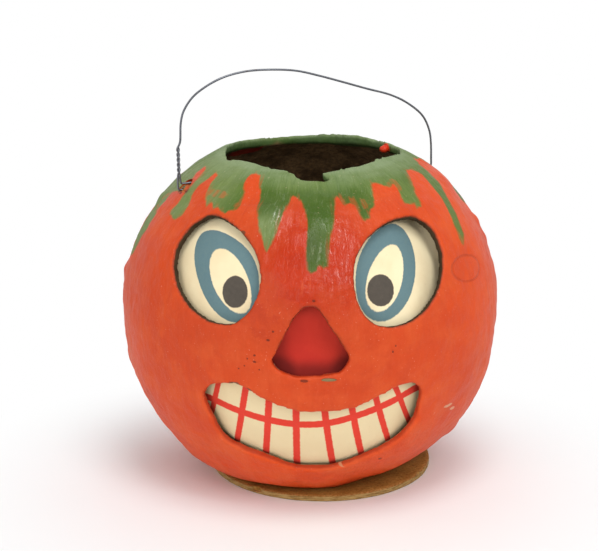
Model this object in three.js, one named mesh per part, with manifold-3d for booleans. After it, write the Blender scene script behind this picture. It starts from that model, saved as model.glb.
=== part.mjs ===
import * as THREE from "three";
import { mergeVertices } from "three/addons/utils/BufferGeometryUtils.js";
import Module from "manifold-3d";

// A hanging jack-o-lantern candle holder of pressed paper pulp, in millimetres, +Z up.
// The face looks towards -Y. The origin is on the underside of the card base, on the body's own axis.

// Body: a hollow squarish round of pulp, pressed as a front half and a rear half.
// Heights are measured up from the card base that the foot is glued to. The round is trimmed off flat
// there, by the length that its curve would have gone on below.
const GIRTH_RADIUS = 51;
const GIRTH_HEIGHT = 42.2;
const CROWN_RISE = 48.6;
const FOOT_TRIM = 5.3;
const SQUARENESS = 2.15;
const WALL = 2.25;

// Neck: the hand-cut opening in the crown, seen from above, with square corners at the sides
// and a torn notch at the front whose right edge ends in a small hooked tab
const NECK_OUTLINE = [
  [7.9, -22], [6.1, -22.9], [3, -24.6], [4.8, -26.1], [4, -27], [-0.2, -27.1], [-3.1, -26.9],
  [-4.9, -24.3], [-10.9, -20.8], [-18.3, -13], [-21.9, -9.5], [-22.6, 4.4], [-20.6, 13.5],
  [-12.6, 22.6], [-5.6, 24.6], [0.6, 24.8], [7.1, 23.5], [12, 20.5], [16.6, 16.9], [20.9, 11],
  [23.9, 3.5], [23.2, -4.8], [19.4, -10.9], [15.3, -16.1], [11.6, -19.8],
];

// Face: openings cut square through the wall. Each point is the distance along the wall to the right
// of the middle of the face, and the distance up the wall from the girth.
const LEFT_EYE = [
  [-27.5, 36.6], [-20.5, 34.9], [-15, 29.6], [-12.8, 22.5], [-14.4, 15.4], [-19.8, 10],
  [-27.5, 9.9], [-35, 13.8], [-39.3, 20], [-38.9, 26], [-34.2, 32.4],
];
const RIGHT_EYE = [
  [26.8, 36.2], [31, 34.7], [35.5, 30.4], [37.8, 23.7], [35.8, 16.9], [30.1, 11.3], [23, 9.1],
  [16.2, 10.2], [11.9, 15.5], [10.7, 23.6], [13.2, 30.6], [19.5, 35.4],
];
const NOSE = [
  [-1.9, 14.9], [1.2, 15], [4.3, 10.8], [8.8, 3.8], [9.5, 1.6], [7.6, -1.3], [3.4, -2.2],
  [-3.5, -2.7], [-8.2, -1], [-10, 1], [-8.6, 4.1], [-4.6, 11.8],
];
const MOUTH = [
  [-29.3, -10.4], [-27.6, -7.8], [-24.6, -6.6], [-18.5, -6], [-11.6, -9.7], [-3.7, -12], [2.5, -12.2],
  [11.2, -11.4], [20.8, -7.6], [24.5, -6.7], [27.6, -7.1], [30.3, -9.6], [29.6, -14.2], [28.1, -19.6],
  [22.9, -25.3], [15.1, -29.8], [9.6, -33.2], [2.8, -35.4], [-4, -34.7], [-10.2, -30.9], [-17.8, -27.3],
  [-23.7, -24], [-26.8, -17.7], [-28.8, -12.9],
];

// Papers glued to the inside of the wall: the printed face and the two strips over the joint
const GLUE_GAP = 0.4;
const FACE_PAPER = 0.4;
const FACE_PAPER_HALF_ANGLE = 57;
const FACE_PAPER_TOP = 41;
const FACE_PAPER_BOTTOM = -39;
const SAG_AT_EYES = 3;
const SAG_AT_NOSE = 3.4;
const SAG_AT_MOUTH = 1.2;
const STRIP_PAPER = 0.3;
const STRIP_WIDTH = 12;
const STRIP_TOP = 45;
const STRIP_BOTTOM = -46;

// Card base, glued on a little off the body's axis, with a recess for the rivet's spread end
const BASE_RADIUS = 30.3;
const BASE_THICKNESS = 1.4;
const BASE_OFF_RIGHT = 3.1;
const BASE_OFF_FRONT = 2;
const RECESS_RADIUS = 2.8;
const RECESS_DEPTH = 0.6;

// Tin drip pan and candle cup on the base, held by one rivet
const TIN = 0.35;
const PAN_FLOOR_RADIUS = 12.5;
const PAN_RIM_FLARE = 1.6;
const PAN_HEIGHT = 2.8;
const CUP_BORE_RADIUS = 6.4;
const CUP_HEIGHT = 12;
const CUP_SLIT_WIDTH = 1;
const CUP_SLIT_DEPTH = 7.5;
const CUP_SLITS = 3;
const RIVET_SHANK_RADIUS = 1.2;
const RIVET_HEAD_RADIUS = 2.3;
const RIVET_HEAD_HEIGHT = 0.6;
const RIVET_END_HEIGHT = 0.5;
const RIVET_CLEARANCE = 0.2;

// Bail: one springy wire, turned round the body's axis, that swings about the line through its holes.
// Its left end passes through two holes and is twisted round itself, its right end passes through one.
const WIRE_DIAMETER = 0.6;
const BAIL_TURN = 19.7;
const BAIL_SWING = 74;
const LEFT_HOLE_HEIGHT = 78;
const RIGHT_HOLE_HEIGHT = 79.2;
const HOLE_CLEARANCE = 0.25;
const STRAND_SPACING = 1.7;
const SLOT_WEAR = 0.35;
const STRAND_REACH = 7;
const LEFT_LEG_OUT = 0.1;
const RIGHT_LEG_OUT = 0.45;
const TWIST_START = 4.2;
const TWIST_PITCH = 4.2;
const TWIST_TURNS = 1.75;
const TWIST_GAP = 0.15;
const EYE_RADIUS = 1.3;
const EYE_REACH = 9.8;

// The wire's arch, from the left leg to the right leg: in each half, the distance in from that half's
// leg and the height above the swing axis
const ARCH_LEFT = [
  [0.6, 12.7], [1, 17.7], [1.8, 20.6], [4.3, 24.1], [8.2, 26.8], [12.9, 28.8], [18.9, 29.9],
  [25.6, 29.9], [32.9, 29.1],
];
const ARCH_RIGHT = [
  [32.7, 27.4], [25.9, 25.2], [19, 22.9], [11.9, 20.6], [7, 18], [2.6, 14.2], [0.6, 10], [0.1, 6.6],
];

const degrees = THREE.MathUtils.degToRad;
const wasm = await Module();
wasm.setup();

// Half of the body's outline, from the bottom of its hollow to the top: x is a radius, y a height.
class BodyProfile extends THREE.Curve {
  getPoint(t, target = new THREE.Vector2()) {
    const climb = (t - 0.5) * Math.PI;
    const reach = climb > 0 ? CROWN_RISE : GIRTH_HEIGHT + FOOT_TRIM;
    const power = 2 / SQUARENESS;
    return target.set(
      GIRTH_RADIUS * Math.abs(Math.cos(climb)) ** power,
      BASE_THICKNESS + GIRTH_HEIGHT + Math.sign(climb) * reach * Math.abs(Math.sin(climb)) ** power,
    );
  }
}

const profile = new BodyProfile();
profile.arcLengthDivisions = 2000;
const profileLengths = profile.getLengths();
const profileLength = profileLengths.at(-1);
const lengthToGirth = profileLengths[profile.arcLengthDivisions / 2];

// The radius of the body at a distance up the wall from the girth.
function radiusAt(up) {
  return profile.getPointAt((lengthToGirth + up) / profileLength).x;
}

// The radius of the body at a height, above the girth.
function radiusAtHeight(height) {
  const climb = (height - BASE_THICKNESS - GIRTH_HEIGHT) / CROWN_RISE;
  return GIRTH_RADIUS * (1 - climb ** SQUARENESS) ** (1 / SQUARENESS);
}

// Bends a flat geometry round the body: x is the angle from the middle of the face, y the distance
// up the wall from the girth, and z the distance out from the wall's outer surface.
function bendRoundBody(geometry) {
  const place = geometry.attributes.position;
  for (let i = 0; i < place.count; i += 1) {
    const angle = place.getX(i);
    const along = (lengthToGirth + place.getY(i)) / profileLength;
    const point = profile.getPointAt(along);
    const rise = profile.getTangentAt(along);
    const radius = point.x + place.getZ(i) * rise.y;
    const height = point.y - place.getZ(i) * rise.x;
    place.setXYZ(i, radius * Math.sin(angle), -radius * Math.cos(angle), height);
  }
  return geometry;
}

// A sheet bent round the body: its angles, its ends up the wall, its depth in from the outer surface
// and how much deeper it sags at an angle and a distance up the wall.
function sheetOnWall({ fromAngle, toAngle, bottom, top, depth, thickness, columns, rows, sag = () => 0 }) {
  const sheet = new THREE.BoxGeometry(toAngle - fromAngle, top - bottom, thickness, columns, rows, 1);
  sheet.translate((fromAngle + toAngle) / 2, (bottom + top) / 2, -depth - thickness / 2);
  const place = sheet.attributes.position;
  for (let i = 0; i < place.count; i += 1) {
    place.setZ(i, place.getZ(i) - sag(place.getX(i), place.getY(i)));
  }
  return bendRoundBody(sheet);
}

// A solid that cuts an opening of the given outline square through the wall.
function openingCutter(outline) {
  const curve = new THREE.CatmullRomCurve3(outline.map(([x, y]) => new THREE.Vector3(x, y, 0)), true);
  const edge = curve.getPoints(3 * outline.length).slice(0, -1);
  const shape = new THREE.Shape(edge.map((point) => new THREE.Vector2(point.x / radiusAt(point.y), point.y)));
  const outside = 12;
  const cutter = new THREE.ExtrudeGeometry(shape, { depth: outside + 2 * WALL, bevelEnabled: false });
  cutter.translate(0, 0, -2 * WALL);
  return bendRoundBody(cutter);
}

function solidFrom(geometry) {
  const bare = geometry.clone();
  bare.deleteAttribute("normal");
  bare.deleteAttribute("uv");
  const merged = mergeVertices(bare, 1e-4);
  return new wasm.Manifold(
    new wasm.Mesh({
      numProp: 3,
      vertProperties: merged.attributes.position.array,
      triVerts: new Uint32Array(merged.index.array),
    }),
  );
}

function geometryFrom(solid) {
  const mesh = solid.getMesh();
  const geometry = new THREE.BufferGeometry();
  geometry.setAttribute("position", new THREE.BufferAttribute(mesh.vertProperties, 3));
  geometry.setIndex(new THREE.BufferAttribute(mesh.triVerts, 1));
  geometry.computeVertexNormals();
  return geometry;
}

function cut(geometry, cutters) {
  return geometryFrom(cutters.reduce((left, cutter) => left.subtract(solidFrom(cutter)), solidFrom(geometry)));
}

// A solid of revolution about Z, from a closed outline of radius and height pairs.
function turned(outline, segments) {
  const points = [...outline, outline[0]].map(([radius, height]) => new THREE.Vector2(radius, height));
  return new THREE.LatheGeometry(points, segments).rotateX(Math.PI / 2);
}

const paints = {
  pulp: { color: 0xd65a32, roughness: 0.55, metalness: 0 },
  rearPulp: { color: 0xcf5830, roughness: 0.6, metalness: 0 },
  printedPaper: { color: 0xf2e4c4, roughness: 0.8, metalness: 0 },
  stripPaper: { color: 0xb9a582, roughness: 0.9, metalness: 0 },
  card: { color: 0xa68d64, roughness: 0.95, metalness: 0 },
  tin: { color: 0xa9a9a4, roughness: 0.45, metalness: 0.9 },
  steelWire: { color: 0x5d5d60, roughness: 0.5, metalness: 0.8 },
};

function piece(name, geometry, paint) {
  const mesh = new THREE.Mesh(geometry, new THREE.MeshStandardMaterial(paint));
  mesh.name = name;
  return mesh;
}

// The bail's own frame: X runs along the swing axis from the left hole to the right hole, Z up the legs.
const leftHole = { out: radiusAtHeight(BASE_THICKNESS + LEFT_HOLE_HEIGHT), height: LEFT_HOLE_HEIGHT };
const rightHole = { out: radiusAtHeight(BASE_THICKNESS + RIGHT_HOLE_HEIGHT), height: RIGHT_HOLE_HEIGHT };
const axisTilt = Math.atan2(rightHole.height - leftHole.height, leftHole.out + rightHole.out);
const axisHeight = BASE_THICKNESS + leftHole.height + leftHole.out * Math.tan(axisTilt);

function bailFrame(...children) {
  const tilted = new THREE.Group();
  tilted.rotation.y = -axisTilt;
  tilted.add(...children);
  const turnedFrame = new THREE.Group();
  turnedFrame.position.z = axisHeight;
  turnedFrame.rotation.z = degrees(BAIL_TURN);
  turnedFrame.add(tilted);
  return turnedFrame;
}

// Cuts the round hole of a strand that lies on the swing axis, at either side of the body.
function axisHoleCutter(out, side) {
  const length = out / 2;
  const drill = new THREE.CylinderGeometry(
    WIRE_DIAMETER / 2 + HOLE_CLEARANCE, WIRE_DIAMETER / 2 + HOLE_CLEARANCE, length, 12,
  );
  return drill.rotateZ(Math.PI / 2).translate(side * out, 0, 0);
}

// Cuts the worn slot that the second strand sweeps round the first as the bail swings.
function swingSlotCutter(out, side) {
  const reach = WIRE_DIAMETER / 2 + HOLE_CLEARANCE;
  const inner = STRAND_SPACING - reach;
  const outer = STRAND_SPACING + reach + SLOT_WEAR;
  const halfAngle = degrees(BAIL_SWING) + reach / STRAND_SPACING;
  const slot = new THREE.Shape();
  slot.absarc(0, 0, outer, Math.PI / 2 - halfAngle, Math.PI / 2 + halfAngle, false);
  slot.absarc(0, 0, inner, Math.PI / 2 + halfAngle, Math.PI / 2 - halfAngle, true);
  const length = out / 2;
  const cutter = new THREE.ExtrudeGeometry(slot, { depth: length, bevelEnabled: false, curveSegments: 14 });
  cutter.translate(0, 0, -length / 2);
  return cutter.rotateX(Math.PI / 2).rotateZ(Math.PI / 2).translate(side * out, 0, 0);
}

function inBailFrame(geometry) {
  const holder = new THREE.Mesh(geometry);
  bailFrame(holder).updateMatrixWorld(true);
  return geometry.applyMatrix4(holder.matrixWorld);
}

// Both pressed halves, trimmed flat where they stand on the base and open at the neck.
function pressedHalf(fromAngle, toAngle, ownCutters) {
  const half = sheetOnWall({
    fromAngle,
    toAngle,
    bottom: -0.8 * lengthToGirth,
    top: 0.8 * (profileLength - lengthToGirth),
    depth: 0,
    thickness: WALL,
    columns: 26,
    rows: 24,
  });
  const belowFoot = new THREE.BoxGeometry(4 * GIRTH_RADIUS, 4 * GIRTH_RADIUS, 2 * GIRTH_RADIUS);
  belowFoot.translate(0, 0, BASE_THICKNESS - GIRTH_RADIUS);
  const neck = new THREE.ExtrudeGeometry(
    new THREE.Shape(NECK_OUTLINE.map(([x, y]) => new THREE.Vector2(x, y))),
    { depth: 2 * CROWN_RISE, bevelEnabled: false },
  );
  neck.translate(0, 0, BASE_THICKNESS + GIRTH_HEIGHT + CROWN_RISE / 2);
  return cut(half, [belowFoot, neck, ...ownCutters]);
}

function frontShell() {
  const faceCutters = [LEFT_EYE, RIGHT_EYE, NOSE, MOUTH].map(openingCutter);
  const tieCutters = [axisHoleCutter(leftHole.out, -1), swingSlotCutter(leftHole.out, -1)].map(inBailFrame);
  return pressedHalf(-Math.PI / 2, Math.PI / 2, [...faceCutters, ...tieCutters]);
}

function rearShell() {
  return pressedHalf(Math.PI / 2, (3 * Math.PI) / 2, [inBailFrame(axisHoleCutter(rightHole.out, 1))]);
}

// The printed paper hangs away from the wall behind the nose, the outer halves of the eyes and the
// corners of the mouth.
function paperSag(angle, up) {
  const aside = Math.abs(THREE.MathUtils.radToDeg(angle));
  const ease = THREE.MathUtils.smoothstep;
  const atEyes = SAG_AT_EYES * ease(aside, 30, 50) * ease(up, 0, 10);
  const atNose = SAG_AT_NOSE * Math.exp(-((aside / 13) ** 2) - ((up - 5) / 9) ** 2);
  const atMouth = SAG_AT_MOUTH * ease(aside, 25, 38) * (1 - ease(up, 0, 10));
  return (atEyes + atNose + atMouth) * (1 - ease(aside, 50, FACE_PAPER_HALF_ANGLE));
}

function facePaper() {
  return sheetOnWall({
    fromAngle: -degrees(FACE_PAPER_HALF_ANGLE),
    toAngle: degrees(FACE_PAPER_HALF_ANGLE),
    bottom: FACE_PAPER_BOTTOM,
    top: FACE_PAPER_TOP,
    depth: WALL + GLUE_GAP,
    thickness: FACE_PAPER,
    columns: 30,
    rows: 22,
    sag: paperSag,
  });
}

function seamStrip(side) {
  const halfAngle = STRIP_WIDTH / 2 / GIRTH_RADIUS;
  return sheetOnWall({
    fromAngle: (side * Math.PI) / 2 - halfAngle,
    toAngle: (side * Math.PI) / 2 + halfAngle,
    bottom: STRIP_BOTTOM,
    top: STRIP_TOP,
    depth: WALL + GLUE_GAP,
    thickness: STRIP_PAPER,
    columns: 3,
    rows: 22,
  });
}

const rivetHole = RIVET_SHANK_RADIUS + RIVET_CLEARANCE;

function cardBase() {
  return turned(
    [
      [rivetHole, RECESS_DEPTH],
      [RECESS_RADIUS, RECESS_DEPTH],
      [RECESS_RADIUS, 0],
      [BASE_RADIUS, 0],
      [BASE_RADIUS, BASE_THICKNESS],
      [rivetHole, BASE_THICKNESS],
    ],
    48,
  );
}

function dripPan() {
  const bottom = BASE_THICKNESS;
  const rim = PAN_FLOOR_RADIUS + PAN_RIM_FLARE;
  return turned(
    [
      [rivetHole, bottom],
      [PAN_FLOOR_RADIUS, bottom],
      [rim, bottom + PAN_HEIGHT],
      [rim - TIN, bottom + PAN_HEIGHT],
      [PAN_FLOOR_RADIUS - TIN, bottom + TIN],
      [rivetHole, bottom + TIN],
    ],
    36,
  );
}

const cupBottom = BASE_THICKNESS + TIN;

// The cup's wall is slit from the top, so that its leaves spring against the candle.
function candleCup() {
  const outer = CUP_BORE_RADIUS + TIN;
  const cup = turned(
    [
      [rivetHole, cupBottom],
      [outer, cupBottom],
      [outer, cupBottom + CUP_HEIGHT],
      [CUP_BORE_RADIUS, cupBottom + CUP_HEIGHT],
      [CUP_BORE_RADIUS, cupBottom + TIN],
      [rivetHole, cupBottom + TIN],
    ],
    36,
  );
  const slits = Array.from({ length: CUP_SLITS }, (_, i) => {
    const slit = new THREE.BoxGeometry(2 * outer, CUP_SLIT_WIDTH, 2 * CUP_SLIT_DEPTH);
    slit.translate(outer, 0, cupBottom + CUP_HEIGHT);
    return slit.rotateZ(((i + 0.25) * 2 * Math.PI) / CUP_SLITS);
  });
  return cut(cup, slits);
}

function panRivet() {
  const headBottom = cupBottom + TIN;
  return turned(
    [
      [0, RECESS_DEPTH - RIVET_END_HEIGHT],
      [RIVET_HEAD_RADIUS, RECESS_DEPTH - RIVET_END_HEIGHT],
      [RIVET_HEAD_RADIUS, RECESS_DEPTH],
      [RIVET_SHANK_RADIUS, RECESS_DEPTH],
      [RIVET_SHANK_RADIUS, headBottom],
      [RIVET_HEAD_RADIUS, headBottom],
      [0.8 * RIVET_HEAD_RADIUS, headBottom + 0.8 * RIVET_HEAD_HEIGHT],
      [0, headBottom + RIVET_HEAD_HEIGHT],
    ],
    20,
  );
}

// A wire whose rings stand at its own points, close in the bends and wide apart in the straights.
class WirePath extends THREE.CatmullRomCurve3 {
  getPointAt(u, target) {
    return this.getPoint(u, target);
  }

  getTangentAt(u, target) {
    return this.getTangent(u, target);
  }
}

// Points on an arc in the plane of the bail, from one angle to another in degrees.
function arc(x, z, radius, from, to, steps) {
  return Array.from({ length: steps + 1 }, (_, i) => {
    const angle = degrees(from + ((to - from) * i) / steps);
    return new THREE.Vector3(x + radius * Math.cos(angle), 0, z + radius * Math.sin(angle));
  });
}

// One strand of the twist, climbing round the leg from its given side.
function twistStrand(leg, startAngle) {
  const radius = (WIRE_DIAMETER + TWIST_GAP) / 2;
  const steps = Math.round(9 * TWIST_TURNS);
  return Array.from({ length: steps + 1 }, (_, i) => {
    const turns = (TWIST_TURNS * i) / steps;
    const angle = startAngle + 2 * Math.PI * turns;
    return new THREE.Vector3(
      leg + radius * Math.cos(angle), radius * Math.sin(angle), TWIST_START + TWIST_PITCH * turns,
    );
  });
}

// The left end: down one strand, in through the hole on the swing axis, back out through the slot
// above it, and up the other strand.
function leftEnd() {
  const leg = -leftHole.out - LEFT_LEG_OUT;
  const bend = STRAND_SPACING / 2;
  const inside = -leftHole.out + STRAND_REACH;
  const outerStrand = leg - (WIRE_DIAMETER + TWIST_GAP) / 2;
  return [
    ...twistStrand(leg, Math.PI).reverse(),
    new THREE.Vector3(outerStrand - 0.15, 0, 2.6),
    ...arc(outerStrand + 0.6, 0.75, 0.75, 180, 270, 3),
    new THREE.Vector3(inside - 3, 0, 0),
    ...arc(inside, bend, bend, 270, 450, 6),
    new THREE.Vector3(inside - 3, 0, STRAND_SPACING),
    ...arc(leg + 0.95, STRAND_SPACING + 0.6, 0.6, 270, 180, 3),
    ...twistStrand(leg, 0),
  ];
}

// The right end: in along the swing axis and rolled into an eye inside, too wide for its hole.
function rightEnd() {
  const leg = rightHole.out + RIGHT_LEG_OUT;
  const inside = rightHole.out - EYE_REACH;
  const eye = arc(inside, EYE_RADIUS, EYE_RADIUS, 270, -45, 11);
  const sideStep = WIRE_DIAMETER + 2 * TWIST_GAP;
  eye.forEach((point, i) => {
    point.y = (sideStep * i) / (eye.length - 1);
  });
  return [
    new THREE.Vector3(leg, 0, 2),
    ...arc(leg - 0.6, 0.6, 0.6, 0, -90, 3),
    new THREE.Vector3(inside + 4, 0, 0),
    ...eye,
  ];
}

function bailWire() {
  const leftLeg = -leftHole.out - LEFT_LEG_OUT;
  const rightLeg = rightHole.out + RIGHT_LEG_OUT;
  const path = new WirePath([
    ...leftEnd(),
    ...ARCH_LEFT.map(([inward, up]) => new THREE.Vector3(leftLeg + inward, 0, up)),
    ...ARCH_RIGHT.map(([inward, up]) => new THREE.Vector3(rightLeg - inward, 0, up)),
    ...rightEnd(),
  ]);
  const section = new THREE.Shape();
  section.absarc(0, 0, WIRE_DIAMETER / 2, 0, 2 * Math.PI, false);
  return new THREE.ExtrudeGeometry(section, {
    extrudePath: path,
    steps: path.points.length - 1,
    curveSegments: 4,
    bevelEnabled: false,
  });
}

const onBase = new THREE.Group();
onBase.position.set(BASE_OFF_RIGHT, -BASE_OFF_FRONT, 0);
onBase.add(
  piece("base_disc", cardBase(), paints.card),
  piece("drip_pan", dripPan(), paints.tin),
  piece("candle_cup", candleCup(), paints.tin),
  piece("pan_rivet", panRivet(), paints.tin),
);

const lantern = new THREE.Group();
lantern.add(
  piece("front_shell", frontShell(), paints.pulp),
  piece("rear_shell", rearShell(), paints.rearPulp),
  piece("face_insert", facePaper(), paints.printedPaper),
  piece("seam_strip_left", seamStrip(-1), paints.stripPaper),
  piece("seam_strip_right", seamStrip(1), paints.stripPaper),
  bailFrame(piece("bail_wire", bailWire(), paints.steelWire)),
  onBase,
);

export default lantern;
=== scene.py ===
import math

import bmesh
import bpy
import numpy as np
from mathutils import Matrix, Vector, noise


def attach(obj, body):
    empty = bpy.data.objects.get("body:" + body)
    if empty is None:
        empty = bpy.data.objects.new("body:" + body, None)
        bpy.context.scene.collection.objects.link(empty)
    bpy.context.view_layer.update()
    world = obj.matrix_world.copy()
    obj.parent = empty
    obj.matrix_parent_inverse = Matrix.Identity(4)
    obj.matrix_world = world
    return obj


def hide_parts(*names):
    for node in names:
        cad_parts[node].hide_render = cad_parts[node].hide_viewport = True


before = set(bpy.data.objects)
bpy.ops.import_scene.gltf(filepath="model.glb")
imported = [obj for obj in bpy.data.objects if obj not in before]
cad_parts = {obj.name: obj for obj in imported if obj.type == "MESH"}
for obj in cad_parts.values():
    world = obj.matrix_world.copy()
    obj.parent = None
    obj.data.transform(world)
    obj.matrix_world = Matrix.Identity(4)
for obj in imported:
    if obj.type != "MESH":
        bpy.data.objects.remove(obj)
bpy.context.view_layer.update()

# Pulp body
# A hollow squarish round of pressed paper pulp, two halves glued together at the sides, with the
# eyes, nose, mouth and neck cut out by hand. Lumpy and a little faceted, dipped in orange paint, and
# brushed with green from the neck down.

GIRTH_RADIUS = 51.0
GIRTH_HEIGHT = 43.6
CROWN_RISE = 48.6
FOOT_DROP = 47.5
SQUARENESS = 2.15
WALL = 2.25
FOOT_HEIGHT = 1.4
CROWN_UP = 66
PLUG_RISE = 10
NECK_CUT = (66, 100)
PULP_GRAIN = 0.6

# The wall's outline, from the bottom of the round to its top
climb = np.radians(np.linspace(-89.9, 89.9, 3600))
wall_reach = np.where(climb > 0, CROWN_RISE, FOOT_DROP)
wall_radius = GIRTH_RADIUS * np.cos(climb) ** (2 / SQUARENESS)
wall_height = GIRTH_HEIGHT + np.sign(climb) * wall_reach * np.abs(np.sin(climb)) ** (2 / SQUARENESS)
wall_up = np.concatenate([[0], np.cumsum(np.hypot(np.diff(wall_radius), np.diff(wall_height)))])
wall_up -= np.interp(0, climb, wall_up)
face_out = (wall_radius / GIRTH_RADIUS) ** (SQUARENESS - 1) / GIRTH_RADIUS
face_up = (np.abs(wall_height - GIRTH_HEIGHT) / wall_reach) ** (SQUARENESS - 1) / wall_reach
face_up *= np.sign(climb)
face_length = np.hypot(face_out, face_up)
face_out /= face_length
face_up /= face_length


def on_wall(around, up, out):
    """The place of points at an angle round the body, a distance up its wall and a height off it."""
    angle = np.radians(np.asarray(around, float))
    radius = np.interp(up, wall_up, wall_radius) + out * np.interp(up, wall_up, face_out)
    height = np.interp(up, wall_up, wall_height) + out * np.interp(up, wall_up, face_up)
    return np.stack([radius * np.sin(angle), -radius * np.cos(angle), height], -1)


def from_wall(place):
    """The angle round the body, the distance up the wall and the depth below its surface."""
    radius = np.hypot(place[:, 0], place[:, 1])
    rise = place[:, 2] - GIRTH_HEIGHT
    high = np.abs(rise) / np.where(rise > 0, CROWN_RISE, FOOT_DROP)
    lean = np.arctan2(
        np.sign(rise) * high ** (SQUARENESS / 2), (radius / GIRTH_RADIUS) ** (SQUARENESS / 2)
    )
    up = np.interp(lean, climb, wall_up)
    depth = (np.interp(up, wall_up, wall_radius) - radius) * np.interp(up, wall_up, face_out)
    depth += (np.interp(up, wall_up, wall_height) - place[:, 2]) * np.interp(up, wall_up, face_up)
    return np.degrees(np.arctan2(place[:, 0], -place[:, 1])), up, depth


def wander(x, y, z):
    return noise.noise(Vector((x, y, z)))


def smooth_loop(points, steps):
    """A closed line through the points, with steps places between each two."""
    points = np.asarray(points, float)
    share = np.linspace(0, 1, steps, endpoint=False)[:, None]
    before, here, after, beyond = (np.roll(points, shift, 0)[:, None] for shift in (1, 0, -1, -2))
    cubic = 3 * (here - after) + beyond - before
    square = 2 * before - 5 * here + 4 * after - beyond
    line = here + share / 2 * (after - before + share * (square + share * cubic))
    return line.reshape(-1, points.shape[1])


def new_mesh(name, places, faces):
    mesh = bpy.data.meshes.new(name)
    mesh.from_pydata([tuple(place) for place in places], [], faces)
    mesh.validate()
    return mesh


def new_piece(name, mesh):
    piece = bpy.data.objects.new(name, mesh)
    bpy.context.scene.collection.objects.link(piece)
    return piece


def turned_mesh(name, outline, columns):
    """A closed mesh of revolution about Z from a closed outline of radius and height."""
    rows = len(outline)
    turn = np.linspace(0, 2 * np.pi, columns, endpoint=False)
    radius, height = np.array(outline).T
    places = np.stack(
        [np.outer(np.sin(turn), radius), np.outer(-np.cos(turn), radius), np.tile(height, (columns, 1))], -1
    ).reshape(-1, 3)
    faces = []
    for column in range(columns):
        following = (column + 1) % columns
        for row in range(rows):
            above = (row + 1) % rows
            faces.append(
                (column * rows + row, following * rows + row, following * rows + above, column * rows + above)
            )
    return new_mesh(name, places, faces)


def with_modifier(piece, kind, **settings):
    """The piece's mesh with one modifier applied to it."""
    modifier = piece.modifiers.new(kind, kind)
    for setting, value in settings.items():
        setattr(modifier, setting, value)
    shown = piece.evaluated_get(bpy.context.evaluated_depsgraph_get())
    mesh = bpy.data.meshes.new_from_object(shown)
    piece.modifiers.clear()
    piece.data = mesh


def cut_away(piece, tool):
    with_modifier(piece, "BOOLEAN", operation="DIFFERENCE", object=tool, solver="EXACT")
    bpy.data.objects.remove(tool)


def from_build(name, build):
    """A piece from the build, with its faces turned outward."""
    bmesh.ops.recalc_face_normals(build, faces=build.faces)
    mesh = bpy.data.meshes.new(name)
    build.to_mesh(mesh)
    build.free()
    return new_piece(name, mesh)


def prism(build, rim, axis, level):
    """A block in the build, from a flat rim of places to the same rim at a level along the axis."""
    floor = build.faces.new([build.verts.new(place) for place in rim])
    for part in bmesh.ops.extrude_face_region(build, geom=[floor])["geom"]:
        if isinstance(part, bmesh.types.BMVert):
            part.co[axis] = level


def split_ends(build):
    """Triangles in place of the many-sided ends of the blocks."""
    bmesh.ops.triangulate(build, faces=[face for face in build.faces if len(face.verts) > 4])


def plug_through_wall(outline, low, high):
    """A solid that fills an opening, from a flat outline of distances aside and up the wall."""
    line = smooth_loop(outline, 4)
    around = np.degrees(line[:, 0] / np.interp(line[:, 1], wall_up, wall_radius))
    build = bmesh.new()
    prism(build, [(angle, up, low) for angle, up in zip(around, line[:, 1])], 2, high)
    split_ends(build)
    for vert in build.verts:
        vert.co = on_wall(vert.co.x, vert.co.y, vert.co.z)
    return build


LEFT_EYE = [
    (-27.5, 36.6), (-20.5, 34.9), (-15, 29.6), (-12.8, 22.5), (-14.4, 15.4), (-19.8, 10),
    (-27.5, 9.9), (-35, 13.8), (-39.3, 20), (-38.9, 26), (-34.2, 32.4),
]
RIGHT_EYE = [
    (26.8, 36.2), (31, 34.7), (35.5, 30.4), (37.8, 23.7), (35.8, 16.9), (30.1, 11.3), (23, 9.1),
    (16.2, 10.2), (11.9, 15.5), (10.7, 23.6), (13.2, 30.6), (19.5, 35.4),
]
NOSE = [
    (-1.9, 14.9), (1.2, 15), (4.3, 10.8), (8.8, 3.8), (9.5, 1.6), (7.6, -1.3), (3.4, -2.2),
    (-3.5, -2.7), (-8.2, -1), (-10, 1), (-8.6, 4.1), (-4.6, 11.8),
]
MOUTH = [
    (-29.3, -10.4), (-27.6, -7.8), (-24.6, -6.6), (-18.5, -6), (-11.6, -9.7), (-3.7, -12), (2.5, -12.2),
    (11.2, -11.4), (20.8, -7.6), (24.5, -6.7), (27.6, -7.1), (30.3, -9.6), (29.6, -14.2), (28.1, -19.6),
    (22.9, -25.3), (15.1, -29.8), (9.6, -33.2), (2.8, -35.4), (-4, -34.7), (-10.2, -30.9), (-17.8, -27.3),
    (-23.7, -24), (-26.8, -17.7), (-28.8, -12.9),
]
NECK = [
    (7.9, -22), (6.1, -22.9), (3, -24.6), (4.8, -26.1), (4, -27), (-0.2, -27.1), (-3.1, -26.9),
    (-4.9, -24.3), (-10.9, -20.8), (-18.3, -13), (-21.9, -9.5), (-22.6, 4.4), (-20.6, 13.5),
    (-12.6, 22.6), (-5.6, 24.6), (0.6, 24.8), (7.1, 23.5), (12, 20.5), (16.6, 16.9), (20.9, 11),
    (23.9, 3.5), (23.2, -4.8), (19.4, -10.9), (15.3, -16.1), (11.6, -19.8),
]

# The pressed round, still whole: outer wall up, inner wall down, flat at the foot
outer_up = np.linspace(np.interp(FOOT_HEIGHT, wall_height, wall_up), CROWN_UP, 130)
inner_height = wall_height - WALL * face_up
inner_up = np.linspace(CROWN_UP, np.interp(FOOT_HEIGHT, inner_height, wall_up), 120)
section = np.concatenate([on_wall(90, outer_up, 0), on_wall(90, inner_up, -WALL)])
body = new_piece("pulp_body", turned_mesh("pulp_body", section[:, [0, 2]], 220))

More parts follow.
